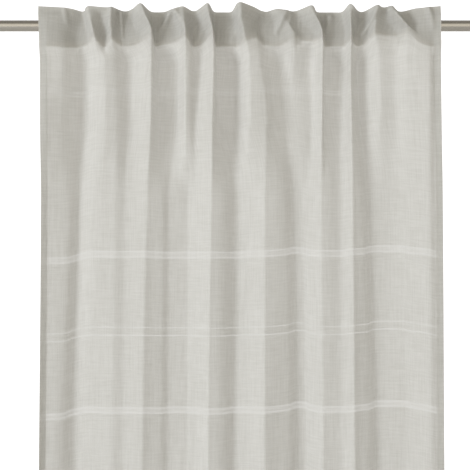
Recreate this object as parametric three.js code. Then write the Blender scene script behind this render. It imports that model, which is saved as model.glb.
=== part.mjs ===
// A curtain panel with hidden back tabs, hanging on a round rod. Millimetres, +Z up.
// The origin is on the rod's axis, at the middle of the panel. X runs along the rod, and the cloth's
// face looks along -Y. Every layer of cloth follows one wave, so layers that are sewn together keep
// the same folds.
import * as THREE from 'three';

// Rod
const ROD_DIAMETER = 28;
const ROD_WALL = 1.2;
const ROD_LENGTH = 1300;
const CAP_RIM = 2;          // how far the cap stands out past the rod's surface
const CAP_THICKNESS = 6;
const CAP_PLUG = 14;        // how far the cap's plug reaches into the tube
const CAP_EDGE_RADIUS = 2;

// Panel, as it hangs
const PANEL_WIDTH = 1000;
const PANEL_LENGTH = 2500;  // top edge to bottom edge
const HEADER_RISE = 30;     // top edge above the rod's axis
const CLOTH_THICKNESS = 0.6;
const TURNING_HEIGHT = 76;  // cloth turned over at the top
const TAPE_HEIGHT = 80;
const TAPE_SETBACK = 8;     // tape's top edge below the cloth's top edge
const TAPE_THICKNESS = 0.7;
const SIDE_HEM = 20;
const BOTTOM_HEM = 50;
const LABEL_WIDTH = 22;
const LABEL_HEIGHT = 45;
const LABEL_ABOVE_HEM = 60;

// Back tabs
const TAB_WIDTH = 18;
const TAB_THICKNESS = 1.0;
const TAB_FOOT = 6;         // upper foot, sewn to the tape above the rod
const TAB_LOWER_FOOT = 10;  // lower foot, sewn near the tape's lower edge
const TAB_FOOT_ABOVE_ROD = 1.5;
const TAB_FOOT_TO_TAPE_EDGE = 6;
const LEFT_MARGIN = 110;    // from the panel's left edge to its first tab, where the cloth is free
const RIGHT_MARGIN = 96;    // the same at the right edge
// Gaps between neighbouring tabs as the panel hangs, from left to right, in proportion to each other.
const TAB_GAPS = [100, 78, 94, 72, 102, 86, 85, 76, 101];

// Folds
const FOLD_DEPTH = 45;      // makes the gathered 1000 mm about 1450 mm of flat cloth
const BODY_START = 360;     // from this depth under the rod, the cloth hangs centred below the axis
const END_CURL = 0.8;       // how far a free side edge comes forward, as a share of a fold
const FOLD_STEPS = 10;      // facets across one fold
const END_STEPS = 5;        // facets across a free side edge
const DROP_STEPS = 3;       // facets down the stretch where the cloth swings back under the rod

const GAP = 0.3;            // between pieces that touch
const SAME_PLACE = 0.01;    // edges closer than this count as one

const rodRadius = ROD_DIAMETER / 2;
const top = HEADER_RISE;
const bottom = HEADER_RISE - PANEL_LENGTH;
const tapeTop = top - TAPE_SETBACK;
const tapeBottom = tapeTop - TAPE_HEIGHT;
const bodyTop = -BODY_START;
const leftEdge = -PANEL_WIDTH / 2;
const rightEdge = PANEL_WIDTH / 2;
const tabHalf = TAB_WIDTH / 2;

// Layers, counted in Y from the tab's foot at the back to the face cloth at the front.
const tabMiddle = rodRadius + GAP + TAB_THICKNESS / 2;      // radius of the strap's middle line
const footMiddle = -(rodRadius + GAP - TAB_THICKNESS);      // Y of the feet, tucked in front of the rod
const tapeBack = footMiddle - TAB_THICKNESS / 2 - GAP;
const clothMiddle = tapeBack - TAPE_THICKNESS - GAP - CLOTH_THICKNESS - GAP - CLOTH_THICKNESS / 2;
const halfCloth = CLOTH_THICKNESS / 2;
const firstLayer = [-halfCloth, halfCloth];
const secondLayer = [halfCloth + GAP, halfCloth + GAP + CLOTH_THICKNESS];
const tapeLayer = [secondLayer[1] + GAP, secondLayer[1] + GAP + TAPE_THICKNESS];

const material = (color, roughness, metalness = 0) =>
  new THREE.MeshStandardMaterial({ color, roughness, metalness });
const clothMaterial = material(0xc9c5bd, 0.95);
const tapeMaterial = material(0xb7b1a6, 0.9);
const tabMaterial = material(0xbdb7ab, 0.85);
const labelMaterial = material(0xf0efec, 0.8);
const rodMaterial = material(0xb9b4ac, 0.3, 1);
const capMaterial = material(0xa9a49c, 0.35, 1);

const model = new THREE.Group();

function add(name, geometry, surface, parent = model) {
  const mesh = new THREE.Mesh(geometry, surface);
  mesh.name = name;
  parent.add(mesh);
  return mesh;
}

const twoDigits = (n) => String(n).padStart(2, '0');

// ---- where the tabs are, and the wave that the cloth makes between them ----

function tabPlaces() {
  const total = TAB_GAPS.reduce((sum, gap) => sum + gap, 0);
  const scale = (PANEL_WIDTH - LEFT_MARGIN - RIGHT_MARGIN) / total;
  const places = [leftEdge + LEFT_MARGIN];
  for (const gap of TAB_GAPS) places.push(places.at(-1) + gap * scale);
  return places;
}

const tabs = tabPlaces();
const foldCentres = tabs.slice(1).map((x, i) => (x + tabs[i]) / 2);

// Stretches of the wave: flat behind each tab, a fold between tabs, and a short curl at each side edge.
function stretches() {
  const list = [{ kind: 'left', from: leftEdge, to: tabs[0] - tabHalf }];
  tabs.forEach((x, i) => {
    list.push({ kind: 'flat', from: x - tabHalf, to: x + tabHalf });
    if (i < tabs.length - 1) list.push({ kind: 'fold', from: x + tabHalf, to: tabs[i + 1] - tabHalf });
  });
  list.push({ kind: 'right', from: tabs.at(-1) + tabHalf, to: rightEdge });
  return list;
}

const wave = stretches();

// How far forward the cloth is at x, from 0 at a tab to 1 at a fold's crest, and its slope.
function forward(x) {
  const part = wave.find((s) => x <= s.to) ?? wave.at(-1);
  const length = part.to - part.from;
  const share = (x - part.from) / length;
  const turn = { left: Math.PI, fold: 2 * Math.PI, right: Math.PI, flat: 0 }[part.kind];
  const height = part.kind === 'fold' ? 1 : END_CURL;
  const along = part.kind === 'left' ? 1 - share : share;
  const sign = part.kind === 'left' ? -1 : 1;
  return {
    value: height * (0.5 - 0.5 * Math.cos(turn * along)),
    slope: sign * height * 0.5 * Math.sin(turn * along) * turn / length,
  };
}

// Y of the cloth where it is furthest back: in front of the rod in the heading, and further down as
// far behind the rod's axis as the crests are in front of it, because the weight hangs below the rod.
function trough(z) {
  const share = THREE.MathUtils.smoothstep((tapeBottom - z) / (tapeBottom - bodyTop), 0, 1);
  return THREE.MathUtils.lerp(clothMiddle, FOLD_DEPTH / 2, share);
}

// The point of a layer that lies `offset` behind the middle of the face cloth.
function clothPoint(x, z, offset) {
  const { value, slope } = forward(x);
  const rise = -FOLD_DEPTH * slope;
  const length = Math.hypot(1, rise);
  return new THREE.Vector3(x - rise * offset / length, trough(z) - FOLD_DEPTH * value + offset / length, z);
}

// The X values at which every layer has an edge, so that neighbouring layers have matching facets.
function stations() {
  const list = [leftEdge + SIDE_HEM, rightEdge - SIDE_HEM, leftEdge + SIDE_HEM + LABEL_WIDTH, rightEdge];
  for (const part of wave) {
    const steps = { fold: FOLD_STEPS, flat: 1, left: END_STEPS, right: END_STEPS }[part.kind];
    for (let i = 0; i < steps; i++) list.push(part.from + (part.to - part.from) * i / steps);
  }
  list.sort((a, b) => a - b);
  return list.filter((x, i) => i === 0 || x - list[i - 1] > SAME_PLACE);
}

const allStations = stations();

function between(list, from, to) {
  return [from, ...list.filter((v) => v > from + SAME_PLACE && v < to - SAME_PLACE), to];
}

const dropLevels = Array.from({ length: DROP_STEPS + 1 },
  (_, i) => THREE.MathUtils.lerp(bodyTop, tapeBottom, i / DROP_STEPS));

// The triangles of a closed sheet of nx by nz cells. Vertices are numbered by side (front, back), then
// row, then column, and both sides are split along the same diagonals, so that layers stay parallel.
function sheetTriangles(nx, nz) {
  const at = (side, i, k) => (side * (nz + 1) + k) * (nx + 1) + i;
  const index = [];
  const quad = (a, b, c, d) => index.push(a, b, c, a, c, d);
  for (let k = 0; k < nz; k++) {
    for (let i = 0; i < nx; i++) {
      quad(at(0, i, k), at(0, i + 1, k), at(0, i + 1, k + 1), at(0, i, k + 1));
      const [a, b, c, d] = [at(1, i, k), at(1, i + 1, k), at(1, i + 1, k + 1), at(1, i, k + 1)];
      index.push(a, c, b, a, d, c);
    }
    quad(at(0, 0, k), at(0, 0, k + 1), at(1, 0, k + 1), at(1, 0, k));
    quad(at(0, nx, k), at(1, nx, k), at(1, nx, k + 1), at(0, nx, k + 1));
  }
  for (let i = 0; i < nx; i++) {
    quad(at(0, i, 0), at(1, i, 0), at(1, i + 1, 0), at(0, i + 1, 0));
    quad(at(0, i, nz), at(0, i + 1, nz), at(1, i + 1, nz), at(1, i, nz));
  }
  return index;
}

// A folded layer of cloth from x0 to x1 and z0 to z1, between two offsets from the face cloth's middle.
function foldedSheet(x0, x1, z0, z1, layer) {
  const xs = between(allStations, x0, x1);
  const zs = between(dropLevels, z0, z1);
  const points = layer.flatMap((offset) => zs.flatMap((z) => xs.map((x) => clothPoint(x, z, offset))));
  const geometry = new THREE.BufferGeometry().setFromPoints(points);
  geometry.setIndex(sheetTriangles(xs.length - 1, zs.length - 1));
  geometry.computeVertexNormals();
  return geometry;
}

// ---- rod ----

function revolvedAlongX(profile, segments) {
  const points = profile.map(([along, radius]) => new THREE.Vector2(radius, along));
  const geometry = new THREE.LatheGeometry(points, segments);
  geometry.rotateZ(-Math.PI / 2);
  return geometry;
}

function rodTube() {
  const half = ROD_LENGTH / 2;
  const bore = rodRadius - ROD_WALL;
  const ring = [[-half, bore], [-half, rodRadius], [half, rodRadius], [half, bore], [-half, bore]];
  return revolvedAlongX(ring, 40);
}

// A plug with a flange, drawn for the right end of the rod.
function endCap() {
  const seat = ROD_LENGTH / 2 + GAP;
  const face = seat + CAP_THICKNESS;
  const plug = rodRadius - ROD_WALL - GAP;
  const rim = rodRadius + CAP_RIM;
  const profile = [[seat - CAP_PLUG, 0], [seat - CAP_PLUG, plug], [seat, plug], [seat, rim]];
  for (let i = 0; i <= 3; i++) {
    const turn = (i / 3) * Math.PI / 2;
    const along = face - CAP_EDGE_RADIUS * (1 - Math.sin(turn));
    profile.push([along, rim - CAP_EDGE_RADIUS * (1 - Math.cos(turn))]);
  }
  profile.push([face, 0]);
  return revolvedAlongX(profile, 32);
}

function buildRod() {
  add('curtain_rod', rodTube(), rodMaterial);
  add('right_end_cap', endCap(), capMaterial);
  const left = add('left_end_cap', endCap(), capMaterial);
  left.rotation.z = Math.PI;
}

// ---- back tabs ----

// The strap's middle line in (Y, Z): down the upper foot, over the rod's back, and to the lower foot.
function tabPath() {
  const upper = new THREE.Vector2(footMiddle, rodRadius + TAB_FOOT_ABOVE_ROD);
  const lower = new THREE.Vector2(footMiddle, tapeBottom + TAB_FOOT_TO_TAPE_EDGE + TAB_LOWER_FOOT);
  const tangent = (point, side) => point.angle() + side * Math.acos(tabMiddle / point.length());
  const start = tangent(upper, -1);
  const end = tangent(lower, 1) - 2 * Math.PI;
  const points = [new THREE.Vector2(upper.x, upper.y + TAB_FOOT), upper];
  const steps = 10;
  for (let i = 0; i <= steps; i++) {
    const angle = THREE.MathUtils.lerp(start, end, i / steps);
    // The corners of a faceted arc stand out a little, so that its facets clear the rod.
    const radius = tabMiddle / Math.cos((start - end) / steps / 2);
    points.push(new THREE.Vector2(radius * Math.cos(angle), radius * Math.sin(angle)));
  }
  points.push(lower, new THREE.Vector2(lower.x, lower.y - TAB_LOWER_FOOT));
  return points;
}

// The outline of a strip of even thickness along a line of points.
function stripOutline(points, thickness) {
  const side = (sign) => points.map((point, i) => {
    const before = points[Math.max(i - 1, 0)];
    const after = points[Math.min(i + 1, points.length - 1)];
    const inward = point.clone().sub(before).normalize();
    const onward = after.clone().sub(point).normalize();
    const along = inward.lengthSq() === 0 ? onward : onward.lengthSq() === 0 ? inward
      : inward.add(onward).normalize();
    const bend = onward.lengthSq() === 0 ? 1 : along.dot(onward);
    const reach = sign * thickness / 2 / Math.max(bend, 0.5);
    return new THREE.Vector2(point.x - along.y * reach, point.y + along.x * reach);
  });
  return [...side(1), ...side(-1).reverse()];
}

function tabStrap() {
  const shape = new THREE.Shape(stripOutline(tabPath(), TAB_THICKNESS));
  const geometry = new THREE.ExtrudeGeometry(shape, { depth: TAB_WIDTH, bevelEnabled: false });
  geometry.translate(0, 0, -TAB_WIDTH / 2);
  // The drawing plane (Y, Z) becomes the world's YZ plane, and the extrusion runs along X.
  geometry.applyMatrix4(new THREE.Matrix4().makeBasis(
    new THREE.Vector3(0, 1, 0), new THREE.Vector3(0, 0, 1), new THREE.Vector3(1, 0, 0)));
  return geometry;
}

function buildTabs() {
  tabs.forEach((x, i) => {
    add(`back_tab_${twoDigits(i + 1)}`, tabStrap(), tabMaterial).position.x = x;
  });
}

// ---- cloth ----

// One strip of the face cloth for each tab, cut at the crests between the tabs.
function buildFaceCloth() {
  const cuts = [leftEdge - GAP / 2, ...foldCentres, rightEdge + GAP / 2];
  tabs.forEach((_, i) => {
    const strip = foldedSheet(cuts[i] + GAP / 2, cuts[i + 1] - GAP / 2, bottom, top, firstLayer);
    add(`face_cloth_${twoDigits(i + 1)}`, strip, clothMaterial);
  });
}

function buildHeading() {
  const turning = foldedSheet(leftEdge, rightEdge, top - TURNING_HEIGHT, top, secondLayer);
  const tape = foldedSheet(leftEdge, rightEdge, tapeBottom, tapeTop, tapeLayer);
  add('header_turning', turning, clothMaterial);
  add('heading_tape', tape, tapeMaterial);
}

function buildHems() {
  const hemTop = bottom + BOTTOM_HEM;
  const sideTop = top - TURNING_HEIGHT - GAP;
  const inLeft = leftEdge + SIDE_HEM;
  const inRight = rightEdge - SIDE_HEM;
  add('bottom_hem', foldedSheet(leftEdge, rightEdge, bottom, hemTop, secondLayer), clothMaterial);
  add('left_side_hem', foldedSheet(leftEdge, inLeft, hemTop + GAP, sideTop, secondLayer), clothMaterial);
  add('right_side_hem', foldedSheet(inRight, rightEdge, hemTop + GAP, sideTop, secondLayer), clothMaterial);
  const low = hemTop + LABEL_ABOVE_HEM;
  const label = foldedSheet(inLeft + GAP, inLeft + LABEL_WIDTH, low, low + LABEL_HEIGHT, secondLayer);
  add('care_label', label, labelMaterial);
}

buildRod();
buildTabs();
buildFaceCloth();
buildHeading();
buildHems();

export default model;
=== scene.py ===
"""The looks of a linen curtain panel that hangs on a round rod by hidden back tabs.

Metres, +Z up, X along the rod, and the cloth's face towards -Y. The origin is on the rod's axis.
The cloth is one surface, drawn by fold lines that run down it. Hems, tape and stitching are layers
laid along that surface, so everything that is sewn together keeps the same folds.
"""
import math

import bpy
import numpy as np
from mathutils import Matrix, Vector


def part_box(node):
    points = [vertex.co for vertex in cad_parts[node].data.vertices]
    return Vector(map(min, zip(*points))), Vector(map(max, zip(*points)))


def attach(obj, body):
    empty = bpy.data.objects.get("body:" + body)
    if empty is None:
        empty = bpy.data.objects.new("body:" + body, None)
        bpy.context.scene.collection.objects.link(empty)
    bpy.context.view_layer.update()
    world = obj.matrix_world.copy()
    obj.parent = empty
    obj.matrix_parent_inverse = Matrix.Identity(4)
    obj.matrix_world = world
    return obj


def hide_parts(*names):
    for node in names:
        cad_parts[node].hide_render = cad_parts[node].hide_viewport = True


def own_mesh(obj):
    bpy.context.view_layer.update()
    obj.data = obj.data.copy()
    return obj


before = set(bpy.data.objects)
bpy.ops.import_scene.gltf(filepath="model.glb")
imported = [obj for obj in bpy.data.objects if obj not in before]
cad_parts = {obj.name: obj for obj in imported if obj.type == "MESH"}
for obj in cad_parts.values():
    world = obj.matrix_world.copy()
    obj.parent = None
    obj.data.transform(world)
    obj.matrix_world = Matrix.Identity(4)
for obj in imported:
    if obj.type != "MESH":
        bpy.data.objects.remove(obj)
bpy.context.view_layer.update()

MM = 0.001

# ---- sizes, most of them read from the frame ----

TAB_NAMES = [f"{i:02d}" for i in range(1, 11)]
LAYER_GAP = 1.2 * MM          # middle of one layer to the middle of the next
SHEET_FLAT = (1.45, 2.5)      # the panel laid flat: width and length
STITCH_LENGTH = 3.2 * MM
STITCH_PITCH = 4.6 * MM
STITCH_WIDTH = 0.7 * MM
STITCH_HEIGHT = 0.35 * MM
STITCH_PROUD = 0.1 * MM       # how far in front of the cloth a stitch starts
TAPE_SEAM_INSET = 3 * MM      # from the tape's edges to its two seams
ROWS_UNDER_TURNING = 6        # the side hems' seams start this many rows under the header turning

rod_low, rod_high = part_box("curtain_rod")
ROD_RADIUS = (rod_high.z - rod_low.z) / 2
tape_low, tape_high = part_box("heading_tape")
hem_low, hem_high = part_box("bottom_hem")
left_hem_low, left_hem_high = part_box("left_side_hem")
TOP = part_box("face_cloth_01")[1].z
BOTTOM = hem_low.z
TURNING_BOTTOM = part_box("header_turning")[0].z
SIDE_HEM = left_hem_high.x - left_hem_low.x
TAB_PLACES = [sum(v.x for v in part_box(f"back_tab_{n}")) / 2 for n in TAB_NAMES]
TAB_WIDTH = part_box("back_tab_01")[1].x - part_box("back_tab_01")[0].x
CLOTH_AT_TAB = 17.3 * MM      # how far in front of the rod's axis a tab holds the cloth

# ---- the fold lines ----

# Heights at which the fold lines are placed: the top edge, just over the tape's lower edge, and on down
# to the panel's lower edge.
LEVELS = np.array([TOP, -0.046, -0.100, -0.240, -0.440, -1.070, BOTTOM])

# One fold line a row, from left to right: how crisp its edge is, how far the cloth under the heading is
# raised there, how far the fold leans over to the right, how far the tape's lower edge is pulled up, and
# (X, distance in front of the rod's axis) at each level but the last. All but the crispness in mm.
FOLD_LINES = [
    ("left edge", 0.0, -14, 0, -14, (-503, 46), (-500, 43), (-498, 40), (-497, 37), (-494, 34), (-495, 37)),
    ("left hem", 0.8, -14, 0, -14, (-482, 44), (-482, 47), (-480, 44), (-480, 39), (-477, 31), (-479, 29)),
    ("left rest", 0.2, -14, 0, -12, (-442, 40), (-442, 41), (-443, 36), (-445, 24), (-447, 24), (-456, 24)),
    ("valley 1a", 0.1, -12, 0, -7, (-419, 33), (-424, 34), (-423, 19), (-426, 3), (-424, 15), (-438, 17)),
    ("valley 1", 0.7, -8, 0, 0, (-392, 17), (-400, 17), (-400, -3), (-404, -17), (-412, -2), (-427, 2)),
    ("crest 1", 0.5, 2, -4, 10, (-380, 50), (-360, 50), (-352, 23), (-352, 17), (-358, 18), (-362, 14)),
    ("dent 1", 0.2, 2, 0, -5, (-349, 43), (-341, 34), (-338, 28), (-337, 24), (-344, 23), (-347, 19)),
    ("crest 1b", 0.2, 2, 0, 10, (-317, 39), (-321, 40), (-314, 20), (-311, 17), (-314, 26), (-316, 25)),
    ("valley 2", 0.4, 2, 0, 0, (-290, 20), (-290, 18), (-291, -6), (-286, -6), (-288, 19), (-292, 22)),
    ("crest 2", 0.9, 2, 4, 16, (-251, 72), (-222, 56), (-224, 29), (-226, 26), (-235, 30), (-245, 31)),
    ("valley 3a", 0.3, 0, 0, 0, (-217, 17), (-212, 17), (-208, -14), (-205, -18), (-193, 16), (-196, 16)),
    ("valley 3", 0.6, 0, 0, 4, (-202, 17), (-200, 17), (-165, -16), (-167, -22), (-180, 5), (-181, 5)),
    ("crest 3", 0.7, 0, 4, 12, (-147, 50), (-140, 50), (-142, 42), (-142, 34), (-137, 2), (-138, 2)),
    ("fall 4", 0.0, 0, 2, 6, (-134, 38), (-129, 44), (-128, 38), (-128, 31), (-126, 5), (-127, 5)),
    ("valley 4", 0.3, 0, 0, 0, (-116, 20), (-114, 18), (-111, 14), (-112, 20), (-114, 9), (-114, 9)),
    ("crest 4", 0.8, 0, 8, 22, (-88, 76), (-75, 54), (-72, 48), (-75, 43), (-80, 37), (-88, 34)),
    ("valley 5a", 0.3, 0, 0, 0, (-62, 17), (-60, 17), (-58, 2), (-56, -4), (-37, 23), (-38, 20)),
    ("valley 5", 0.6, 0, 0, 0, (-22, 17), (-22, 17), (-20, -14), (-20, -20), (-20, 4), (-20, 2)),
    ("crest 5", 0.3, 2, -4, 2, (-2, 70), (14, 48), (28, 38), (30, 32), (18, 11), (16, 9)),
    ("crest 5b", 0.6, 4, 0, 14, (40, 38), (42, 32), (50, 32), (66, 30), (62, 37), (60, 36)),
    ("valley 6a", 0.1, 8, 0, 6, (50, 27), (60, 22), (72, 8), (88, 2), (110, 20), (123, 16)),
    ("valley 6", 0.6, 12, 0, 0, (59, 21), (84, 17), (98, -10), (112, -10), (128, -2), (142, -4)),
    ("crest 6", 0.2, 12, 0, 14, (97, 34), (134, 34), (132, 6), (146, -8), (152, 0), (163, -3)),
    ("valley 7", 0.2, 6, 0, 15, (132, 21), (178, 22), (178, -8), (182, -12), (172, 9), (178, 6)),
    ("crest 7", 0.6, 4, 6, 14, (175, 58), (200, 50), (201, 32), (200, 20), (195, 31), (198, 28)),
    ("valley 8a", 0.2, 4, 0, 0, (195, 17), (216, 17), (213, 4), (214, 0), (218, 27), (222, 26)),
    ("valley 8", 0.3, 4, 0, 0, (257, 17), (250, 17), (252, -16), (252, -16), (250, 17), (250, 22)),
    ("crest 8", 0.9, 8, 0, 10, (272, 78), (277, 54), (277, 38), (279, 30), (280, 36), (283, 38)),
    ("valley 9a", 0.1, 10, 0, 6, (286, 40), (287, 34), (285, 14), (290, 8), (305, 21), (322, 17)),
    ("valley 9", 0.8, 14, 0, 2, (302, 17), (299, 17), (295, -10), (302, -14), (317, 0), (339, -2)),
    ("crest 9", 0.4, 16, 0, 20, (340, 53), (334, 44), (350, 30), (352, 20), (356, 3), (370, 1)),
    ("valley 10", 0.2, 16, 0, 24, (357, 39), (390, 32), (384, 24), (387, 19), (397, 11), (408, 7)),
    ("crest 10", 0.4, 12, 0, 20, (377, 48), (417, 46), (420, 38), (422, 32), (425, 22), (432, 16)),
    ("tab 10", 0.1, 10, 0, -3, (401, 20), (446, 45), (444, 41), (446, 37), (448, 32), (452, 25)),
    ("right rest", 0.1, 6, 0, -10, (442, 36), (467, 43), (470, 44), (471, 42), (472, 41), (475, 35)),
    ("right hem", 0.7, 3, 0, -11, (482, 43), (482, 40), (482, 37), (482, 36), (484, 38), (487, 33)),
    ("right edge", 0.0, 3, 0, -8, (500, 47), (500, 45), (499, 43), (500, 42), (502, 43), (503, 37)),
]
CRISP, RAISE, LEAN, TUCK = (np.array([row[k] for row in FOLD_LINES], float) for k in (1, 2, 3, 4))
CRESTS = [i for i, row in enumerate(FOLD_LINES) if row[0].startswith("crest") or row[0].endswith("edge")]

LAST_DRIFT = 0.3              # how far a fold line drifts to the last level, as a share of its drift before
LAST_DEPTH = 1.65             # how deep a fold is at the last level, as a share of its depth before
TUCK_REACH = 0.036            # how far from its lower edge the tape still pulls the cloth up

LIFT = 0.33                   # how far a fold of the heading rises, as a share of how far it comes forward
LIFT_FADES = 0.30             # the lift is gone at this depth under the rod's axis
SHARPNESS = 1.6               # slope beside the crispest fold line, as a share of the fold's mean slope
CORNER_RADIUS = 2.2 * MM      # how rounded every fold is
TOP_ROUNDING = 3.5 * MM       # added to it at the heading's top edge
TOP_ROUNDING_FADE = (-0.020, 0.025)   # heights between which it comes in
LEAST_CREST = 1 * MM          # a crest is taken to stand out by at least this
TOP_CURL = 0.35               # how far the top edge of a fold curls back, as a share of what is beyond this
CURLS_BEYOND = 32 * MM
CURL_START = -0.004           # the height at which the curl begins

COLUMNS = 560                 # points across the cloth
DENSE_STEP = 1.1 * MM         # spacing of the points that a cross section is worked out with
HEADING_ROW_STEP = 2.5 * MM   # rows in the heading, and on to this far under the tape
HEADING_ROWS_BELOW = 0.012
SHOULDER_ROW_STEP = 6 * MM    # rows under them: the first one's distance, and the height of the last
SHOULDER_ROWS_GAP = 0.004
SHOULDER_ROWS_END = -0.30
BODY_ROWS = 150               # rows from there to the bottom hem, and the distances to their neighbours
BODY_GAP_ABOVE = 0.012
BODY_GAP_BELOW = 0.006
HEM_ROWS = 9

# Slow unevenness of the hanging cloth as a sum of waves: radians a metre across and down, start, share.
WANDER_WAVES = [(61, 2.1, 0.4, 1.0), (-38, 4.7, 1.9, 0.9), (97, -3.3, 4.1, 0.6), (23, 7.9, 2.6, 0.7)]
WANDER_SIZE = 0.9             # in mm

PINCH = 2.2                   # how much narrower a fold of the heading is beside the rod
PINCH_HEIGHT = -0.030         # where it is narrowest, and how far that reaches up and down
PINCH_REACH = 0.035
CALM_SIDES = 0.150            # the pinch fades out over this distance towards the panel's side edges

# Small upright gathers beside the tabs.
GATHER_REACH = 20 * MM        # how far from the tab's middle they go
GATHER_WAVE = 1.9 * MM        # distance from one to the next, over 2 pi
GATHER_SHIFT = 1.7            # how far they are shifted from one tab to the next, in radians
GATHER_SIZE = 0.6             # half their height in mm
GATHER_FADE_LOW = (-0.105, -0.045)    # heights between which they come in, and go out again
GATHER_FADE_TOP = (0.018, 0.034)

CREASE_FADE = 0.6             # how much flatter a crease is at its lower end, as a share
# Short creases of the heading, beside the tabs: upper end and lower end as (X, Z) on the sheet, how far
# they stand out (or in, where negative), and their half width. All in mm.
CREASES = [
    ((-437, 24), (-432, -4), 4, 7),
    ((-346, 8), (-340, -26), -7, 10),
    ((-320, 27), (-326, -22), 11, 7),
    ((-309, 22), (-311, -22), -7, 5),
    ((-297, 24), (-296, -34), 9, 5),
    ((-285, 20), (-284, -46), -8, 6),
    ((-268, 24), (-272, -12), -6, 10),
    ((-240, 22), (-222, -14), 7, 6),
    ((-175, 24), (-197, -12), 13, 8),
    ((-162, 24), (-141, -20), 11, 7),
    ((-100, 22), (-90, -4), 8, 7),
    ((-86, -12), (-112, -46), 5, 10),
    ((5, 20), (-18, -38), 8, 10),
    ((40, 4), (36, -30), -14, 14),
    ((70, 24), (84, -38), -10, 8),
    ((118, 24), (90, -22), 13, 8),
    ((129, 22), (124, -6), 8, 6),
    ((225, 16), (219, -14), 11, 9),
    ((284, 26), (291, -18), 9, 6),
    ((343, 24), (309, -28), 16, 9),
    ((370, 20), (378, -4), 7, 6),
    ((378, 24), (413, -24), 16, 9),
    ((470, 24), (481, -14), 9, 8),
]


def monotone_slopes(at, values):
    """Slopes that keep a cubic curve from overshooting the values it passes through."""
    step = np.diff(at)
    rise = np.diff(values) / step
    ahead = 2 * step[1:] + step[:-1]
    behind = step[1:] + 2 * step[:-1]
    same_way = rise[1:] * rise[:-1] > 0
    before = np.where(same_way, rise[:-1], 1)
    after = np.where(same_way, rise[1:], 1)
    slopes = np.zeros(len(at))
    slopes[1:-1] = np.where(same_way, (ahead + behind) / (ahead / before + behind / after), 0)
    slopes[0], slopes[-1] = rise[0], rise[-1]
    return slopes


def cubic_curve(at, values, leaving, arriving, where):
    """The curve through (at, values) with a slope on each side of every point, read at where."""
    i = np.clip(np.searchsorted(at, where, side="right") - 1, 0, len(at) - 2)
    step = at[i + 1] - at[i]
    t = np.clip((where - at[i]) / step, 0, 1)
    rising = t * t * (3 - 2 * t)
    bend = step * (t * (1 - t) ** 2 * leaving[i] + t * t * (t - 1) * arriving[i + 1])
    return values[i] * (1 - rising) + values[i + 1] * rising + bend


def monotone_curve(at, values, where):
    """The smooth curve through (at, values), read at where. at rises."""
    slopes = monotone_slopes(at, values)
    return cubic_curve(at, values, slopes, slopes, where)


def folded_curve(at, values, crisp, where):
    """A smooth curve that turns sharply at crisp ridges, and sharply into the valleys from the left."""
    slopes = monotone_slopes(at, values)
    rise = np.diff(values) / np.diff(at)
    before = np.concatenate([rise[:1], rise])
    after = np.concatenate([rise, rise[-1:]])
    turns = before * after < 0
    arriving = np.where(turns, SHARPNESS * crisp * before, slopes)
    leaving = np.where(turns & (after < 0), SHARPNESS * crisp * after, np.where(turns, 0, slopes))
    return cubic_curve(at, values, leaving, arriving, where)


def smoothstep(low, high, value):
    t = np.clip((value - low) / (high - low), 0, 1)
    return t * t * (3 - 2 * t)


def row_heights():
    """Heights of the cloth's rows: close together in the heading, further apart down the panel."""
    heading = np.arange(TOP, tape_low.z - HEADING_ROWS_BELOW, -HEADING_ROW_STEP)
    shoulder = np.arange(heading[-1] - SHOULDER_ROWS_GAP, SHOULDER_ROWS_END, -SHOULDER_ROW_STEP)
    body = np.linspace(shoulder[-1] - BODY_GAP_ABOVE, hem_high.z + BODY_GAP_BELOW, BODY_ROWS)
    hem = np.linspace(hem_high.z, BOTTOM, HEM_ROWS)
    return np.concatenate([heading, shoulder, body, hem])


def fold_line_values():
    """X and forward distance of every fold line at every level, as arrays of level by line."""
    places = np.array([row[5:] for row in FOLD_LINES], float).transpose(1, 0, 2) * MM
    last = places[-1].copy()
    last[:, 0] += LAST_DRIFT * (places[-1, :, 0] - places[-2, :, 0])
    last[:, 1] = CLOTH_AT_TAB + LAST_DEPTH * (last[:, 1] - CLOTH_AT_TAB)
    return np.concatenate([places, last[None]])


def blurred(values, radius):
    """values, smoothed along a row, with both ends kept."""
    spread = radius / DENSE_STEP
    reach = int(3 * spread) + 1
    kernel = np.exp(-0.5 * (np.arange(-reach, reach + 1) / spread) ** 2)
    kernel /= kernel.sum()
    before = 2 * values[0] - values[reach:0:-1]
    after = 2 * values[-1] - values[-2:-reach - 2:-1]
    return np.convolve(np.concatenate([before, values, after]), kernel, "valid")


def wander(x, z):
    """Slow unevenness of hanging cloth, in metres."""
    total = sum(share * np.sin(across * x + down * z + start) for across, down, start, share in WANDER_WAVES)
    return total * WANDER_SIZE * MM


def creased(x, z):
    """How far the heading's creases stand out of the folds."""
    push = np.zeros_like(x)
    for start, end, height, half_width in CREASES:
        x0, z0 = np.array(start) * MM
        x1, z1 = np.array(end) * MM
        along = np.array([x1 - x0, z1 - z0])
        size = np.hypot(*along)
        along /= size
        t = np.clip(((x - x0) * along[0] + (z - z0) * along[1]) / size, 0, 1)
        aside = np.hypot(x - x0 - t * size * along[0], z - z0 - t * size * along[1])
        push += height * MM * (1 - CREASE_FADE * t) * np.exp(-(aside / (half_width * MM)) ** 2)
    return push


def gathered(x, z):
    """Small upright gathers beside each tab but the first."""
    push = np.zeros_like(x)
    share = smoothstep(*GATHER_FADE_LOW, z) * (1 - smoothstep(*GATHER_FADE_TOP, z))
    for i, place in enumerate(TAB_PLACES[1:]):
        near = np.exp(-((x - place) / GATHER_REACH) ** 2)
        push += near * (1 + np.cos((x - place) / GATHER_WAVE + i * GATHER_SHIFT)) * GATHER_SIZE * MM * share
    return push


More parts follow.
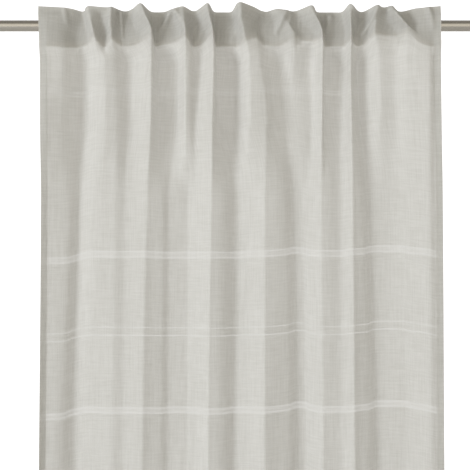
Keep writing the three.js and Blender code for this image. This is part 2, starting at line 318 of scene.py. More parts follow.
def pinched(x, z, forward, tops):
    """The folds' forward distance, made narrower beside the rod. tops is how far the crests stand out."""
    height = np.clip((forward - CLOTH_AT_TAB) / tops, 0, 1)
    from_side = np.minimum(x - x[0], x[-1] - x)
    pinch = PINCH * math.exp(-((z - PINCH_HEIGHT) / PINCH_REACH) ** 2) * smoothstep(0, CALM_SIDES, from_side)
    return np.where(height > 0, forward - tops * (height - height ** (1 + pinch)), forward)


def cross_section(z, lines_x, lines_forward):
    """The cloth's curve at height z: X, forward distance and rise, closely spaced from left to right."""
    count = int((lines_x[-1] - lines_x[0]) / DENSE_STEP)
    x = np.linspace(lines_x[0], lines_x[-1], count)
    radius = CORNER_RADIUS + TOP_ROUNDING * smoothstep(*TOP_ROUNDING_FADE, z)
    forward = blurred(folded_curve(lines_x, lines_forward, CRISP, x), radius)
    tops = np.maximum(np.interp(x, lines_x[CRESTS], lines_forward[CRESTS]) - CLOTH_AT_TAB, LEAST_CREST)
    forward = pinched(x, z, forward, tops)
    in_heading = smoothstep(-LIFT_FADES, tape_low.z, z)
    lifted = LIFT * np.maximum(forward - CLOTH_AT_TAB, 0) * in_heading
    raised = monotone_curve(lines_x, RAISE * MM, x) * (1 - in_heading)
    forward = forward + wander(x, z) * (1 - in_heading)
    beyond = np.maximum(forward - CURLS_BEYOND, 0)
    forward = forward - TOP_CURL * beyond * smoothstep(CURL_START, TOP, z) ** 2
    leaning = monotone_curve(lines_x, LEAN * MM, x)
    tucked = monotone_curve(lines_x, TUCK * MM, x) * math.exp(-((z - tape_low.z) / TUCK_REACH) ** 2)
    return x + leaning, forward, lifted + raised + tucked


def cloth_surface():
    """The face cloth's points as rows by columns, and each row's height when flat."""
    heights = row_heights()
    values = fold_line_values()
    lines = range(len(FOLD_LINES))
    drop = -LEVELS
    along = np.stack([monotone_curve(drop, values[:, i, 0], -heights) for i in lines], 1)
    forward = np.stack([monotone_curve(drop, values[:, i, 1], -heights) for i in lines], 1)
    rows = []
    for z, line_x, line_forward in zip(heights, along, forward):
        x, ahead, up = cross_section(z, line_x, line_forward)
        ahead = ahead + creased(x, np.full_like(x, z)) + gathered(x, np.full_like(x, z))
        if z > tape_low.z:
            ahead = np.maximum(ahead, CLOTH_AT_TAB)
        arc = np.concatenate([[0], np.cumsum(np.hypot(np.diff(x), np.diff(ahead)))])
        even = np.linspace(0, arc[-1], COLUMNS)
        rows.append(np.stack([np.interp(even, arc, v) for v in (x, -ahead, up + z)], 1))
    return np.array(rows), heights


def unit(vectors):
    return vectors / np.linalg.norm(vectors, axis=-1, keepdims=True)


def face_normals(points):
    """Unit normals on the cloth's face side, for a grid of points."""
    across = np.gradient(points, axis=1)
    down = np.gradient(points, axis=0)
    return unit(np.cross(down, across))


POINTS, HEIGHTS = cloth_surface()
NORMALS = face_normals(POINTS)
HEM_COLUMNS = round(SIDE_HEM / SHEET_FLAT[0] * (COLUMNS - 1)) + 1


def nearest_row(z):
    return int(np.abs(HEIGHTS - z).argmin())


def flat_coordinates():
    """Where each point of the cloth lies on the flat panel: across from the left, down from the top."""
    across = np.linspace(0, SHEET_FLAT[0], COLUMNS)
    return np.stack(np.meshgrid(across, TOP - HEIGHTS), -1)


FLAT = flat_coordinates()

# ---- making meshes ----


def mesh_object(name, vertices, faces, material, smooth=True):
    mesh = bpy.data.meshes.new(name)
    mesh.from_pydata([tuple(v) for v in vertices], [], [tuple(f) for f in faces])
    mesh.materials.append(material)
    mesh.polygons.foreach_set("use_smooth", [smooth] * len(mesh.polygons))
    obj = bpy.data.objects.new(name, mesh)
    bpy.context.scene.collection.objects.link(obj)
    return obj


def grid_faces(rows, columns):
    r, c = np.meshgrid(np.arange(rows - 1), np.arange(columns - 1), indexing="ij")
    first = (r * columns + c).ravel()
    return np.stack([first, first + 1, first + columns + 1, first + columns], 1)


def sheet_object(name, points, flat, material):
    """A sheet from a grid of points, which carries its flat coordinates for the weave."""
    rows, columns = points.shape[:2]
    vertices = points.reshape(-1, 3)
    obj = mesh_object(name, vertices, grid_faces(rows, columns), material)
    place = obj.data.attributes.new("flat", "FLOAT_VECTOR", "POINT")
    across, down = flat.reshape(-1, 2).T
    place.data.foreach_set("vector", np.stack([across, down, 0 * across], 1).ravel())
    add_uv(obj.data, flat)
    return obj


def add_uv(mesh, flat):
    """A map of the flat sheet, from 0 to 1."""
    uv = flat.reshape(-1, 2)
    low, high = uv.min(0), uv.max(0)
    uv = (uv - low) / (high - low)
    layer = mesh.uv_layers.new(name="OFBake")
    corners = np.empty(len(mesh.loops), int)
    mesh.loops.foreach_get("vertex_index", corners)
    layer.uv.foreach_set("vector", uv[corners].astype(np.float32).ravel())


# ---- materials ----

class Nodes:
    """A short way of writing a material's nodes."""

    def __init__(self, name):
        self.material = bpy.data.materials.new(name)
        self.material.use_nodes = True
        self.tree = self.material.node_tree
        self.tree.nodes.clear()

    def add(self, kind, inputs=(), **settings):
        node = self.tree.nodes.new("ShaderNode" + kind)
        for key, value in settings.items():
            setattr(node, key, value)
        for key, value in dict(inputs).items():
            self.put(node.inputs[key], value)
        return node

    def put(self, socket, value):
        if isinstance(value, bpy.types.NodeSocket):
            self.tree.links.new(value, socket)
        else:
            socket.default_value = value

    def math(self, operation, a, b=0.0, c=0.0, clamp=False):
        return self.add("Math", {0: a, 1: b, 2: c}, operation=operation, use_clamp=clamp).outputs[0]

    def noise(self, place, scale, detail=3.0, roughness=0.55):
        """Noise with its own scale along each axis, in features a metre."""
        scaled = self.add("Mapping", {"Vector": place, "Scale": scale}).outputs[0]
        settings = {"Vector": scaled, "Scale": 1.0, "Detail": detail, "Roughness": roughness}
        return self.add("TexNoise", settings).outputs["Fac"]

    def streaks(self, place, scale):
        """Noise of strong contrast, from 0 to 1."""
        noise = self.noise(place, scale, 2.0)
        return self.add("MapRange", {"Value": noise, "From Min": 0.34, "From Max": 0.66}).outputs[0]

    def colour(self, low, high, share):
        """A mix of two colours. low may also be another colour's socket."""
        mixed = self.add("Mix", data_type="RGBA")
        self.put(mixed.inputs["Factor"], share)
        self.put(mixed.inputs["A"], low if isinstance(low, bpy.types.NodeSocket) else (*low, 1))
        self.put(mixed.inputs["B"], (*high, 1))
        return mixed.outputs["Result"]

    def output(self, shader):
        self.add("OutputMaterial", {"Surface": shader})
        return self.material


STRIPE_REPEAT = 0.6
# Thicker weft woven into the cloth: distance into each repeat, half the width, and how strong it shows.
STRIPE_THREADS = [
    (0.0105, 0.0090, 0.45), (0.0035, 0.0014, 1.0), (0.0168, 0.0018, 0.9),
    (0.1920, 0.0015, 0.9), (0.2115, 0.0015, 1.0),
    (0.3972, 0.0085, 0.50), (0.3912, 0.0025, 0.9), (0.4032, 0.0022, 1.0),
]
STRIPES_START = 0.5           # the repeats start this far under the top edge
TOP_THREADS = [(0.1960, 0.0011, 0.6), (0.2040, 0.0013, 0.6)]     # the same, by distance under the top edge


def thread_lines(n, place, threads):
    """How strongly the listed threads show, and 0 elsewhere."""
    lines = []
    for at, half, strength in threads:
        on_thread = n.math("COMPARE", place, at, half)
        lines.append(n.math("MULTIPLY", on_thread, strength))
    total = lines[0]
    for line in lines[1:]:
        total = n.math("MAXIMUM", total, line)
    return total


def stripe_mask(n, down):
    """How strongly the thicker weft shows, from 0 to 1."""
    repeats = thread_lines(n, n.math("WRAP", down, STRIPE_REPEAT, 0.0), STRIPE_THREADS)
    below = n.math("GREATER_THAN", down, STRIPES_START)
    return n.math("MULTIPLY_ADD", repeats, below, thread_lines(n, down, TOP_THREADS))


def weave_height(n, place, warp_pitch, weft_pitch):
    """Over and under of single threads, from -1 to 1."""
    parts = n.add("SeparateXYZ", {0: place}).outputs
    warp = n.math("SINE", n.math("MULTIPLY", parts[0], 2 * math.pi / warp_pitch))
    weft = n.math("SINE", n.math("MULTIPLY", parts[1], 2 * math.pi / weft_pitch))
    return n.math("MULTIPLY", warp, weft)


CLOTH_DARK = (0.520, 0.503, 0.465)
CLOTH_LIGHT = (0.830, 0.814, 0.790)
STRIPE_COLOUR = (0.84, 0.825, 0.80)
STRIPE_LIGHTENS = 0.42        # share of its own colour that a full stripe shows
TRANSLUCENCY = 0.28
STRIPE_TRANSLUCENCY = 0.2     # added to it along the stripes
OPENNESS = 0.06               # share of the lightest cloth that is gaps between threads
STRIPE_OPENNESS = 0.07        # added to it along the stripes, where the weave is more open

# The cloth's noises: features a metre across the sheet and down it.
WEFT_NOISE = (28, 620, 1)
WARP_NOISE = (560, 22, 1)
CLOUD_NOISE = (9, 5, 1)
FINE_NOISE = (900, 900, 1)
WEFT_SLUBS = (15, 230, 1)
WARP_SLUBS = (250, 11, 1)
# What each adds to the cloth's tone and to its height.
THREAD_TONE = 0.30
FINE_TONE = 0.06
CLOUD_TONE = 0.10
SLUB_TONE = 0.15
THREAD_HEIGHT = 1.2
WEAVE_HEIGHT = 0.25
SLUB_HEIGHT = 0.5
STRIPE_HEIGHT = 0.4
WARP_PITCH = 1.3 * MM
WEFT_PITCH = 1.2 * MM


def cloth_material():
    n = Nodes("linen_cloth")
    place = n.add("Attribute", attribute_name="flat").outputs["Vector"]
    down = n.add("SeparateXYZ", {0: place}).outputs[1]
    weft = n.noise(place, WEFT_NOISE, detail=4.0)
    warp = n.noise(place, WARP_NOISE, detail=4.0)
    cloud = n.noise(place, CLOUD_NOISE, detail=2.0)
    fine = n.noise(place, FINE_NOISE, detail=2.0)
    both = n.math("ADD", weft, warp)
    slubs = n.math("ADD", n.streaks(place, WEFT_SLUBS), n.streaks(place, WARP_SLUBS))
    threads = n.math("MULTIPLY_ADD", both, THREAD_TONE, n.math("MULTIPLY", fine, FINE_TONE))
    mottled = n.math("MULTIPLY_ADD", cloud, CLOUD_TONE, n.math("MULTIPLY", slubs, SLUB_TONE))
    tone = n.math("ADD", threads, mottled, clamp=True)
    stripe = stripe_mask(n, down)
    colour = n.colour(CLOTH_DARK, CLOTH_LIGHT, tone)
    colour = n.colour(colour, STRIPE_COLOUR, n.math("MULTIPLY", stripe, STRIPE_LIGHTENS))

    weave = weave_height(n, place, WARP_PITCH, WEFT_PITCH)
    height = n.math("MULTIPLY_ADD", both, THREAD_HEIGHT, n.math("MULTIPLY", weave, WEAVE_HEIGHT))
    height = n.math("MULTIPLY_ADD", slubs, SLUB_HEIGHT, height)
    height = n.math("MULTIPLY_ADD", stripe, STRIPE_HEIGHT, height)
    bump = n.add("Bump", {"Height": height, "Strength": 0.35, "Distance": 0.4 * MM}).outputs[0]

    front = n.add("BsdfPrincipled", {"Base Color": colour, "Roughness": 0.92, "Specular IOR Level": 0.15,
                                     "Sheen Weight": 0.12, "Sheen Roughness": 0.5, "Normal": bump})
    through = n.add("BsdfTranslucent", {"Color": colour, "Normal": bump})
    share = n.math("MULTIPLY_ADD", stripe, STRIPE_TRANSLUCENCY, TRANSLUCENCY)
    body = n.add("MixShader", {0: share, 1: front.outputs[0], 2: through.outputs[0]})
    gaps = n.math("MULTIPLY_ADD", stripe, STRIPE_OPENNESS, n.math("MULTIPLY", tone, OPENNESS))
    open_part = n.add("BsdfTransparent")
    return n.output(n.add("MixShader", {0: gaps, 1: body.outputs[0], 2: open_part.outputs[0]}).outputs[0])


BAND_STREAKS = (60, 900, 1)   # noises of the woven bands, as above
BAND_SPECKS = (800, 800, 1)
BAND_STREAK_TONE = 0.6
BAND_SPECK_TONE = 0.4
RIB_SHAPE = 0.8               # the weave's pitch down a band, as a share of its pitch across


def woven_material(name, dark, light, rib, translucency, roughness=0.85):
    """A closely woven band, ribbed across at the given pitch."""
    n = Nodes(name)
    place = n.add("Attribute", attribute_name="flat").outputs["Vector"]
    streaks = n.noise(place, BAND_STREAKS, detail=4.0)
    specks = n.noise(place, BAND_SPECKS, detail=3.0)
    weave = weave_height(n, place, rib, rib * RIB_SHAPE)
    specked = n.math("MULTIPLY", specks, BAND_SPECK_TONE)
    tone = n.math("MULTIPLY_ADD", streaks, BAND_STREAK_TONE, specked, clamp=True)
    colour = n.colour(dark, light, tone)
    height = n.math("MULTIPLY_ADD", weave, 0.5, streaks)
    bump = n.add("Bump", {"Height": height, "Strength": 0.5, "Distance": 0.35 * MM}).outputs[0]
    front = n.add("BsdfPrincipled", {"Base Color": colour, "Roughness": roughness,
                                     "Specular IOR Level": 0.2, "Sheen Weight": 0.08, "Normal": bump})
    through = n.add("BsdfTranslucent", {"Color": colour, "Normal": bump})
    mixed = n.add("MixShader", {0: translucency, 1: front.outputs[0], 2: through.outputs[0]})
    return n.output(mixed.outputs[0])


THREAD_NOISE = (900, 900, 900)
THREAD_DARK = (0.60, 0.58, 0.54)
THREAD_LIGHT = (0.78, 0.76, 0.72)


def thread_material():
    n = Nodes("sewing_thread")
    place = n.add("TexCoord").outputs["Object"]
    tone = n.noise(place, THREAD_NOISE, detail=2.0)
    colour = n.colour(THREAD_DARK, THREAD_LIGHT, tone)
    front = n.add("BsdfPrincipled", {"Base Color": colour, "Roughness": 0.6, "Sheen Weight": 0.2})
    return n.output(front.outputs[0])


BRUSH_LINES = (12, 1400, 1400)
SMUDGES = (25, 60, 60)
LINE_TONE = 0.5               # share of the brushed lines in the metal's tone; smudges are the rest
ROUGHNESS_SPREAD = 0.14


def metal_material(name, dark, light, roughness):
    """Brushed metal: fine lines along X, soft smudges, and lighter patches that are slightly rougher."""
    n = Nodes(name)
    place = n.add("TexCoord").outputs["Object"]
    lines = n.noise(place, BRUSH_LINES, detail=4.0)
    smudge = n.noise(place, SMUDGES, detail=3.0)
    smudged = n.math("MULTIPLY", smudge, 1 - LINE_TONE)
    tone = n.math("MULTIPLY_ADD", lines, LINE_TONE, smudged, clamp=True)
    rough = n.math("MULTIPLY_ADD", tone, ROUGHNESS_SPREAD, roughness - ROUGHNESS_SPREAD / 2)
    bump = n.add("Bump", {"Height": lines, "Strength": 0.25, "Distance": 0.05 * MM}).outputs[0]
    front = n.add("BsdfPrincipled", {"Base Color": n.colour(dark, light, tone), "Metallic": 1.0,
                                     "Roughness": rough, "Anisotropic": 0.4, "Normal": bump})
    return n.output(front.outputs[0])


CLOTH = cloth_material()
TAPE = woven_material("heading_tape", (0.52, 0.45, 0.36), (0.66, 0.59, 0.49), 2.2 * MM, 0.12)
WEBBING = woven_material("tab_webbing", (0.55, 0.52, 0.47), (0.72, 0.69, 0.64), 1.6 * MM, 0.15)
LABEL = woven_material("label_satin", (0.80, 0.80, 0.79), (0.92, 0.92, 0.91), 0.6 * MM, 0.25, 0.55)
THREAD = thread_material()
ROD_METAL = metal_material("brushed_nickel", (0.56, 0.52, 0.47), (0.72, 0.67, 0.61), 0.27)
CAP_METAL = metal_material("satin_nickel_cap", (0.54, 0.50, 0.45), (0.70, 0.65, 0.59), 0.34)

# ---- cloth pieces ----

cloth_pieces = []


def keep_cloth(obj, slot, *nodes):
    """Marks a piece as part of the panel: it hangs from the first tab."""
    if nodes:
        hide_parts(*nodes)
    cloth_pieces.append(obj)
    return obj


def layer(rows, columns, depth):
    """Points of a layer behind the face cloth, for slices of rows and columns."""
    return POINTS[rows, columns] - NORMALS[rows, columns] * depth


def edge_loop(edge, inner, normals, steps=4):
    """The bend where the cloth turns over: from the edge of the face to the layer behind it."""
    outward = unit(edge - inner)
    radius = LAYER_GAP / 2
    bend = []
    for k in range(steps):
        turn = math.pi * k / steps
        bend.append(edge - normals * radius * (1 - math.cos(turn)) + outward * radius * math.sin(turn))
    return bend


def turned_sheet(points, normals, flat):
    """A turned-over layer. Row 0 of the grids is the folded edge, and the rest runs inwards."""
    bend = edge_loop(points[0], points[1], normals[0])
    grid = np.concatenate([bend, points - normals * LAYER_GAP])
    places = np.concatenate([[flat[0]] * len(bend), flat])
    return grid, places


def turned_piece(name, rows, columns, turn=None):
    """A hem, cut from the face cloth's own grid. turn swaps or flips the grid to put the edge first."""
    grids = [g[rows, columns] for g in (POINTS, NORMALS, FLAT)]
    if turn:
        grids = [turn(g) for g in grids]
    points, places = turned_sheet(*grids)
    return sheet_object(name + "_cloth", points, places, CLOTH)


def face_piece():
    nodes = [f"face_cloth_{n}" for n in TAB_NAMES]
    return keep_cloth(sheet_object("face_cloth", POINTS, FLAT, CLOTH), "cloth", *nodes)


def hem_pieces():
    turning = nearest_row(TURNING_BOTTOM) + 1
    hem = nearest_row(hem_high.z)
    everything = slice(None)
    side = slice(turning, hem)
    left = slice(0, HEM_COLUMNS)
    right = slice(COLUMNS - HEM_COLUMNS, COLUMNS)

    def swap(grid):
        return grid.swapaxes(0, 1)

    def swap_flip(grid):
        return grid.swapaxes(0, 1)[::-1]

    def flip(grid):
        return grid[::-1]

    keep_cloth(turned_piece("header_turning", slice(0, turning), everything), "cloth", "header_turning")
    keep_cloth(turned_piece("left_side_hem", side, left, swap), "cloth", "left_side_hem")
    keep_cloth(turned_piece("right_side_hem", side, right, swap_flip), "cloth", "right_side_hem")
    keep_cloth(turned_piece("bottom_hem", slice(hem, None), everything, flip), "cloth", "bottom_hem")


def tape_piece():
    rows = slice(nearest_row(tape_high.z), nearest_row(tape_low.z) + 1)
    points = layer(rows, slice(None), 2 * LAYER_GAP)
    tape = sheet_object("heading_tape_band", points, FLAT[rows], TAPE)
    return keep_cloth(tape, "heading_tape", "heading_tape")


def label_piece():
    low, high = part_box("care_label")
    first = HEM_COLUMNS
    last = first + round((high.x - low.x) / SHEET_FLAT[0] * (COLUMNS - 1)) + 1
    rows = slice(nearest_row(high.z), nearest_row(low.z) + 1)
    columns = slice(first, last)
    points = layer(rows, columns, LAYER_GAP)
    label = sheet_object("care_label_ribbon", points, FLAT[rows, columns], LABEL)
    return keep_cloth(label, "label", "care_label")


# ---- stitching ----


def stitch_mesh(centres, alongs, ups):
    """One small pointed oval a stitch."""
    asides = np.cross(alongs, ups)
    half = (STITCH_LENGTH / 2, STITCH_WIDTH / 2, STITCH_HEIGHT)
    corners = [centres - alongs * half[0], centres + asides * half[1], centres + alongs * half[0],
               centres - asides * half[1], centres + ups * half[2]]
    vertices = np.stack(corners, 1).reshape(-1, 3)
    around = [(0, 1, 4), (1, 2, 4), (2, 3, 4), (3, 0, 4)]
    faces = [tuple(5 * i + k for k in face) for i in range(len(centres)) for face in around]
    return vertices, faces


def stitch_line(line, normals):
    """Stitch centres, directions and normals, evenly spaced along a line of points."""
    steps = np.linalg.norm(np.diff(line, axis=0), axis=1)
    arc = np.concatenate([[0], np.cumsum(steps)])
    at = np.arange(STITCH_PITCH / 2, arc[-1], STITCH_PITCH)

    def read(values, where):
        return np.stack([np.interp(where, arc, values[:, k]) for k in range(3)], 1)

    along = unit(read(line, at + STITCH_LENGTH / 4) - read(line, at - STITCH_LENGTH / 4))
    up = read(normals, at)
    up = unit(up - along * (up * along).sum(1, keepdims=True))
    return read(line, at), along, up


def both_sides(rows, columns, back_depth):
    """Stitch lines on the face and on the back of the same seam."""
    line = POINTS[rows, columns]
    normals = NORMALS[rows, columns]
    return [stitch_line(line + normals * STITCH_PROUD, normals),
            stitch_line(line - normals * (back_depth + STITCH_PROUD), -normals)]


def stitches_object(name, lines):
    """All the stitches of some lines, as one object."""
    centres, alongs, ups = (np.concatenate(parts) for parts in zip(*lines))
    vertices, faces = stitch_mesh(centres, alongs, ups)
    return mesh_object(name, vertices, faces, THREAD)


def stitching():
    """The seams of the tape and the hems. A hem's seam is one row or column inside its inner edge."""
    everything = slice(None)
    heading = []
    for z in (tape_low.z + TAPE_SEAM_INSET, tape_high.z - TAPE_SEAM_INSET):
        heading += both_sides(nearest_row(z), everything, 2 * LAYER_GAP)
    keep_cloth(stitches_object("heading_stitching", heading), "cloth")
    hem = nearest_row(hem_high.z)
    side = slice(nearest_row(TURNING_BOTTOM) + ROWS_UNDER_TURNING, hem)
    sides = []
    for column in (HEM_COLUMNS - 2, COLUMNS - HEM_COLUMNS + 1):
        sides += both_sides(side, column, LAYER_GAP)
    keep_cloth(stitches_object("side_hem_stitching", sides), "cloth")
    keep_cloth(stitches_object("bottom_hem_stitching", both_sides(hem + 1, everything, LAYER_GAP)), "cloth")


face_cloth = face_piece()
hem_pieces()
tape_piece()
label_piece()
stitching()

# ---- back tabs ----

STRAP_THICKNESS = 1.0 * MM
STRAP_FILL = 0.9              # the drawn strap's thickness, as a share of that
STRAP_ROUNDING = 0.2 * MM
STRAP_COLUMNS = 9             # points across a strap
LOOP_STEPS = 40               # steps round the rod, and from there to the lower foot
STRAIGHT_STEPS = 6
UPPER_FOOT_OVER_ROD = 1.5 * MM
UPPER_FOOT_STEP = 3 * MM
LOWER_FOOT = 10 * MM          # length of the lower foot
TACKS_UPPER = (1.5 * MM, 4.5 * MM)    # rows of stitches: how far under the upper foot's end
TACKS_LOWER = (2 * MM, 8 * MM)        # and how far over the lower foot's end
TACK_HALF = 0.42              # half the length of a row, as a share of the strap's width
TACK_POINTS = 12
TACK_PROUD = 0.05 * MM


def strap_path():
    """The strap's middle line in (Y, Z): upper foot, over the rod's back, lower foot."""
    low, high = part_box("back_tab_01")
    radius = high.y - STRAP_THICKNESS / 2
    foot = low.y + STRAP_THICKNESS / 2
    upper = Vector((foot, ROD_RADIUS + UPPER_FOOT_OVER_ROD))
    lower = Vector((foot, low.z + LOWER_FOOT))

    def tangent(point, side):
        return math.atan2(point.y, point.x) + side * math.acos(radius / point.length)

    start = tangent(upper, -1)
    end = tangent(lower, 1)
    while end > start:
        end -= 2 * math.pi
    points = [Vector((foot, high.z)), Vector((foot, high.z - UPPER_FOOT_STEP)), upper]
    for i in range(LOOP_STEPS + 1):
        angle = start + (end - start) * i / LOOP_STEPS
        points.append(Vector((math.cos(angle), math.sin(angle))) * radius)
    straight = [points[-1].lerp(lower, k / STRAIGHT_STEPS) for k in range(1, STRAIGHT_STEPS + 1)]
    return points + straight + [Vector((foot, low.z + LOWER_FOOT / 2)), Vector((foot, low.z))]


def strap_piece(name, place):
    path = np.array([tuple(p) for p in strap_path()])
    across = np.linspace(-0.5, 0.5, STRAP_COLUMNS) * TAB_WIDTH
    arc = np.concatenate([[0], np.cumsum(np.linalg.norm(np.diff(path, axis=0), axis=1))])
    grid = np.array([[(place + x, y, z) for x in across] for y, z in path])
    flat = np.stack(np.meshgrid(across - across[0], arc), -1)
    strap = sheet_object(f"back_tab_{name}_strap", grid, flat, WEBBING)
    solid = strap.modifiers.new("thickness", "SOLIDIFY")
    solid.thickness = STRAP_THICKNESS * STRAP_FILL
    solid.offset = 0
    rounding = strap.modifiers.new("soft edges", "BEVEL")
    rounding.width = STRAP_ROUNDING
    rounding.segments = 2
    rounding.limit_method = "ANGLE"
    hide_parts(f"back_tab_{name}")
    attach(strap, f"tab_{name}")


def tack_piece(name, place):
    """Rows of stitches that hold both feet of a strap."""
    low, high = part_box("back_tab_01")
    back = low.y + STRAP_THICKNESS + TACK_PROUD
    half = TACK_HALF * TAB_WIDTH
    backwards = np.tile([0.0, 1.0, 0.0], (TACK_POINTS, 1))
    lines = []
    for z in [high.z - down for down in TACKS_UPPER] + [low.z + up for up in TACKS_LOWER]:
        line = np.linspace((place - half, back, z), (place + half, back, z), TACK_POINTS)
        lines.append(stitch_line(line, backwards))
    tack = stitches_object(f"tab_stitching_{name}", lines)
    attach(tack, f"tab_{name}")


for tab_name, tab_place in zip(TAB_NAMES, TAB_PLACES):
    strap_piece(tab_name, tab_place)
    tack_piece(tab_name, tab_place)

# ---- rod ----

ROD_WALL = 1.2 * MM
ROD_EDGE = 0.3 * MM           # how far the tube's ends are rounded
ROD_RINGS = 25
ROD_SEGMENTS = 96
ROD_SHARP = 40                # corners above these angles, in degrees, stay crisp

CAP_SEGMENTS = 72
CAP_SHARP = 30
PLUG_LENGTH = 12 * MM
PLUG_INSET = 1.6 * MM         # how much smaller the plug is than the tube's outside, in radius
HEAD_LENGTH = 6 * MM
HEAD_EDGE = 0.4 * MM
GROOVE = (1.4 * MM, 1.8 * MM, 2.2 * MM)       # its near side, its bottom and its far side, from the tube
GROOVE_DEPTH = 0.5 * MM
HEAD_ROUNDING = 2 * MM
HEAD_ROUNDING_STEPS = 6
DISH = (0.55, 0.5)            # radii of the shallow dish in the cap's face, as shares of the cap's
DISH_DEPTH = 0.3 * MM


def lathed(name, profile, segments, material):
    """Revolves (X, radius) pairs about the X axis."""
    turns = np.linspace(0, 2 * math.pi, segments, endpoint=False)
    vertices = [(x, r * math.cos(a), r * math.sin(a)) for x, r in profile for a in turns]
    faces = []
    for i in range(len(profile) - 1):
        for k in range(segments):
            after = (k + 1) % segments
            a, b = i * segments + k, i * segments + after
            faces.append((a, b, b + segments, a + segments))
    obj = mesh_object(name, vertices, faces, material)
    obj.data.validate()
    return obj


def rod_piece():
    half = rod_high.x
    bore = ROD_RADIUS - ROD_WALL
    edge = ROD_EDGE
    left_end = [(-half, bore), (-half, ROD_RADIUS - edge), (-half + edge, ROD_RADIUS)]
    along = [(x, ROD_RADIUS) for x in np.linspace(-half + 2 * edge, half - 2 * edge, ROD_RINGS)]
    right_end = [(half - edge, ROD_RADIUS), (half, ROD_RADIUS - edge), (half, bore)]
    profile = left_end + along + right_end + [(-half, bore)]
    rod = lathed("curtain_rod_tube", profile, ROD_SEGMENTS, ROD_METAL)
    sharpen(rod, ROD_SHARP)
    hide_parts("curtain_rod")
    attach(rod, "rod")


def sharpen(obj, degrees):
    """Keeps corners crisp under smooth shading."""
    mesh = obj.data
    edges = {}
    for polygon in mesh.polygons:
        for key in polygon.edge_keys:
            edges.setdefault(key, []).append(polygon.normal.copy())
    limit = math.radians(degrees)
    for edge in mesh.edges:
        sides = edges.get(tuple(sorted(edge.vertices)), [])
        if len(sides) == 2 and min(v.length for v in sides) > 0:
            edge.use_edge_sharp = sides[0].angle(sides[1]) > limit


def cap_piece(name, side):
    low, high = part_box(name)
    rim = high.z
    face = high.x if side > 0 else -low.x
    seat = face - HEAD_LENGTH
    plug = ROD_RADIUS - PLUG_INSET
    profile = [(seat - PLUG_LENGTH, 0.0), (seat - PLUG_LENGTH, plug), (seat, plug)]
    profile += [(seat, rim - HEAD_EDGE), (seat + HEAD_EDGE, rim)]
    near, bottom, far = GROOVE
    profile += [(seat + near, rim), (seat + bottom, rim - GROOVE_DEPTH), (seat + far, rim)]
    size = HEAD_ROUNDING
    for k in range(HEAD_ROUNDING_STEPS + 1):
        turn = math.pi / 2 * k / HEAD_ROUNDING_STEPS
        profile.append((face - size * (1 - math.sin(turn)), rim - size * (1 - math.cos(turn))))
    outer, inner = DISH
    profile += [(face, rim * outer), (face - DISH_DEPTH, rim * inner), (face - DISH_DEPTH, 0.0)]
    if side < 0:
        profile = [(-x, r) for x, r in reversed(profile)]
    cap = lathed(name + "_piece", profile, CAP_SEGMENTS, CAP_METAL)
    sharpen(cap, CAP_SHARP)
    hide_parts(name)
    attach(cap, "rod")


rod_piece()
cap_piece("left_end_cap", -1)
cap_piece("right_end_cap", 1)

# ---- how the cloth moves ----

for piece in cloth_pieces:
    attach(piece, "tab_01")
    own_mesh(piece)

# ---- floor, light and camera ----

FLOOR_BELOW_HEM = 25 * MM
FLOOR_HALF = 6.0
FLOOR_NOISE = (3, 3, 3)
FLOOR_DARK = (0.80, 0.80, 0.79)
FLOOR_LIGHT = (0.86, 0.86, 0.85)
CAMERA_DISTANCE = 2.5
CAMERA_HEIGHT = -0.60
VIEW_CENTRE = Vector((-0.0125, -0.017, -0.530))
VIEW_WIDTH = 1.175


def floor_plane():
    n = Nodes("pale_floor")
    place = n.add("TexCoord").outputs["Object"]
    tone = n.noise(place, FLOOR_NOISE)
    colour = n.colour(FLOOR_DARK, FLOOR_LIGHT, tone)
    front = n.add("BsdfPrincipled", {"Base Color": colour, "Roughness": 0.8})
    material = n.output(front.outputs[0])
    z = BOTTOM - FLOOR_BELOW_HEM
    corners = [(x, y, z) for x, y in ((-1, -1), (1, -1), (1, 1), (-1, 1))]
    corners = [(x * FLOOR_HALF, y * FLOOR_HALF, z) for x, y, z in corners]
    floor = mesh_object("floor", corners, [(0, 1, 2, 3)], material, smooth=False)


ROOM_COLOUR = (1.0, 0.978, 0.88)
FRONT_GLOW = 0.85             # how bright the room is in front of the curtain
BACK_GLOW = 1.24              # how bright it is behind the curtain
HIGH_GLOW = 0.3               # how bright it is overhead and below, as a share of the level round about
GLOW_TURNS = (-0.3, 0.5)      # a direction's Y between which the glow goes from front to back
TINT_TURNS = (-0.1, 0.3)      # and between which the room's colour goes to white
HIGH_STARTS = (0.25, 0.75)    # a direction's Z, up or down, between which the glow gets weaker

KEY_PLACE = (-8.0, -5.3, -0.4)
KEY_TARGET = (0, 0, -0.6)
KEY_SIZE = 3.4
KEY_POWER = 440
KEY_COLOUR = (0.90, 0.95, 1.0)


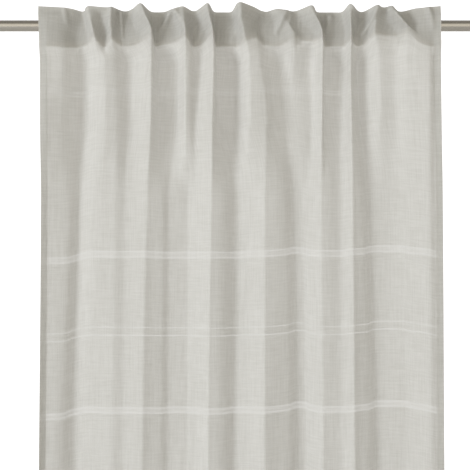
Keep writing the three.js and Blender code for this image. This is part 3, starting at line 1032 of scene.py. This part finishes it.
def white_world():
    """A plain surround, white where it is seen. Its light is a little warm in front of the curtain,
    stronger from behind it, and weaker from above and below."""
    world = bpy.data.worlds.new("studio")
    bpy.context.scene.world = world
    world.use_nodes = True
    tree = world.node_tree
    tree.nodes.clear()

    def ramp(value, low, high, at_low, at_high):
        node = tree.nodes.new("ShaderNodeMapRange")
        node.interpolation_type = "SMOOTHSTEP"
        for name, number in (("From Min", low), ("From Max", high), ("To Min", at_low), ("To Max", at_high)):
            node.inputs[name].default_value = number
        tree.links.new(value, node.inputs["Value"])
        return node.outputs[0]

    def math_node(operation, *values):
        node = tree.nodes.new("ShaderNodeMath")
        node.operation = operation
        for socket, value in zip(node.inputs, values):
            tree.links.new(value, socket)
        return node.outputs[0]

    direction = tree.nodes.new("ShaderNodeTexCoord")
    parts = tree.nodes.new("ShaderNodeSeparateXYZ")
    tree.links.new(direction.outputs["Generated"], parts.inputs[0])
    around = ramp(parts.outputs["Y"], *GLOW_TURNS, FRONT_GLOW, BACK_GLOW)
    above = ramp(math_node("ABSOLUTE", parts.outputs["Z"]), *HIGH_STARTS, 1.0, HIGH_GLOW)
    path = tree.nodes.new("ShaderNodeLightPath")
    seen = math_node("MAXIMUM", math_node("MULTIPLY", around, above), path.outputs["Is Camera Ray"])
    background = tree.nodes.new("ShaderNodeBackground")
    tint = tree.nodes.new("ShaderNodeMix")
    tint.data_type = "RGBA"
    neutral = ramp(parts.outputs["Y"], *TINT_TURNS, 0.0, 1.0)
    tree.links.new(math_node("MAXIMUM", neutral, path.outputs["Is Camera Ray"]), tint.inputs["Factor"])
    tint.inputs["A"].default_value = (*ROOM_COLOUR, 1)
    tint.inputs["B"].default_value = (1, 1, 1, 1)
    tree.links.new(tint.outputs["Result"], background.inputs["Color"])
    output = tree.nodes.new("ShaderNodeOutputWorld")
    tree.links.new(seen, background.inputs["Strength"])
    tree.links.new(background.outputs[0], output.inputs[0])


def key_light():
    """A large soft light from the front left."""
    light = bpy.data.lights.new("key", "AREA")
    light.color = KEY_COLOUR
    light.shape = "SQUARE"
    light.size = KEY_SIZE
    light.energy = KEY_POWER
    obj = bpy.data.objects.new("key", light)
    obj.location = KEY_PLACE
    obj.rotation_euler = (Vector(KEY_TARGET) - Vector(KEY_PLACE)).to_track_quat("-Z", "Y").to_euler()
    obj.visible_camera = False
    bpy.context.scene.collection.objects.link(obj)


def camera():
    data = bpy.data.cameras.new("camera")
    obj = bpy.data.objects.new("camera", data)
    bpy.context.scene.collection.objects.link(obj)
    obj.location = (VIEW_CENTRE.x, VIEW_CENTRE.y - CAMERA_DISTANCE, CAMERA_HEIGHT)
    sight = VIEW_CENTRE - obj.location
    obj.rotation_euler = sight.to_track_quat("-Z", "Y").to_euler()
    data.angle = 2 * math.atan(VIEW_WIDTH / 2 / sight.length)
    bpy.context.scene.camera = obj


floor_plane()
white_world()
key_light()
camera()
bpy.context.scene.view_settings.view_transform = "Standard"
